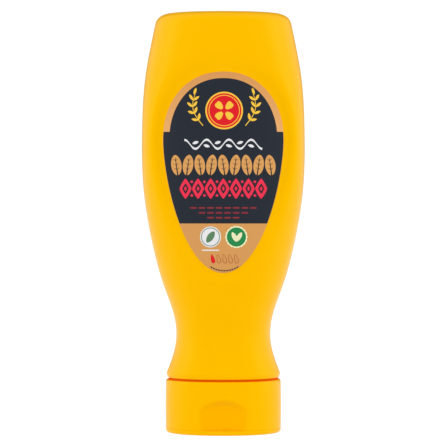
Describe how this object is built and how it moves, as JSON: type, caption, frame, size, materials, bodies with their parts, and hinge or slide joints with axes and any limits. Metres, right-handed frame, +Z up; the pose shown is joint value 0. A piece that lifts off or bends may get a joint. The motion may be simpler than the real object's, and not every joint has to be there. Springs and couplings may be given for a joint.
{
  "type": "mustard squeeze bottle",
  "caption": "Oval yellow squeeze bottle of mustard that stands upside down on its flip-top cap, with an egg-shaped label let into its front and back.",
  "frame": {"origin": "middle of the lid's underside, on the surface that the bottle stands on", "axes": "+Z up towards the bottle's closed end, +X to the viewer's right, the front label faces -Y"},
  "size_m": [0.078, 0.0516, 0.2],
  "materials": {
    "bottle_plastic": "mustard-yellow blow-moulded plastic with a soft satin gloss",
    "cap_plastic": "mustard-yellow injection-moulded plastic, smooth satin",
    "label_film": "thin printed plastic film, dark blue-grey with tan fields, low sheen"
  },
  "bodies": {
    "root": {"bottle": "bottle_plastic", "cap": "cap_plastic", "flip_lid": "cap_plastic", "cap_hinge": "cap_plastic", "front_label": "label_film", "back_label": "label_film"}
  },
  "joints": []
}
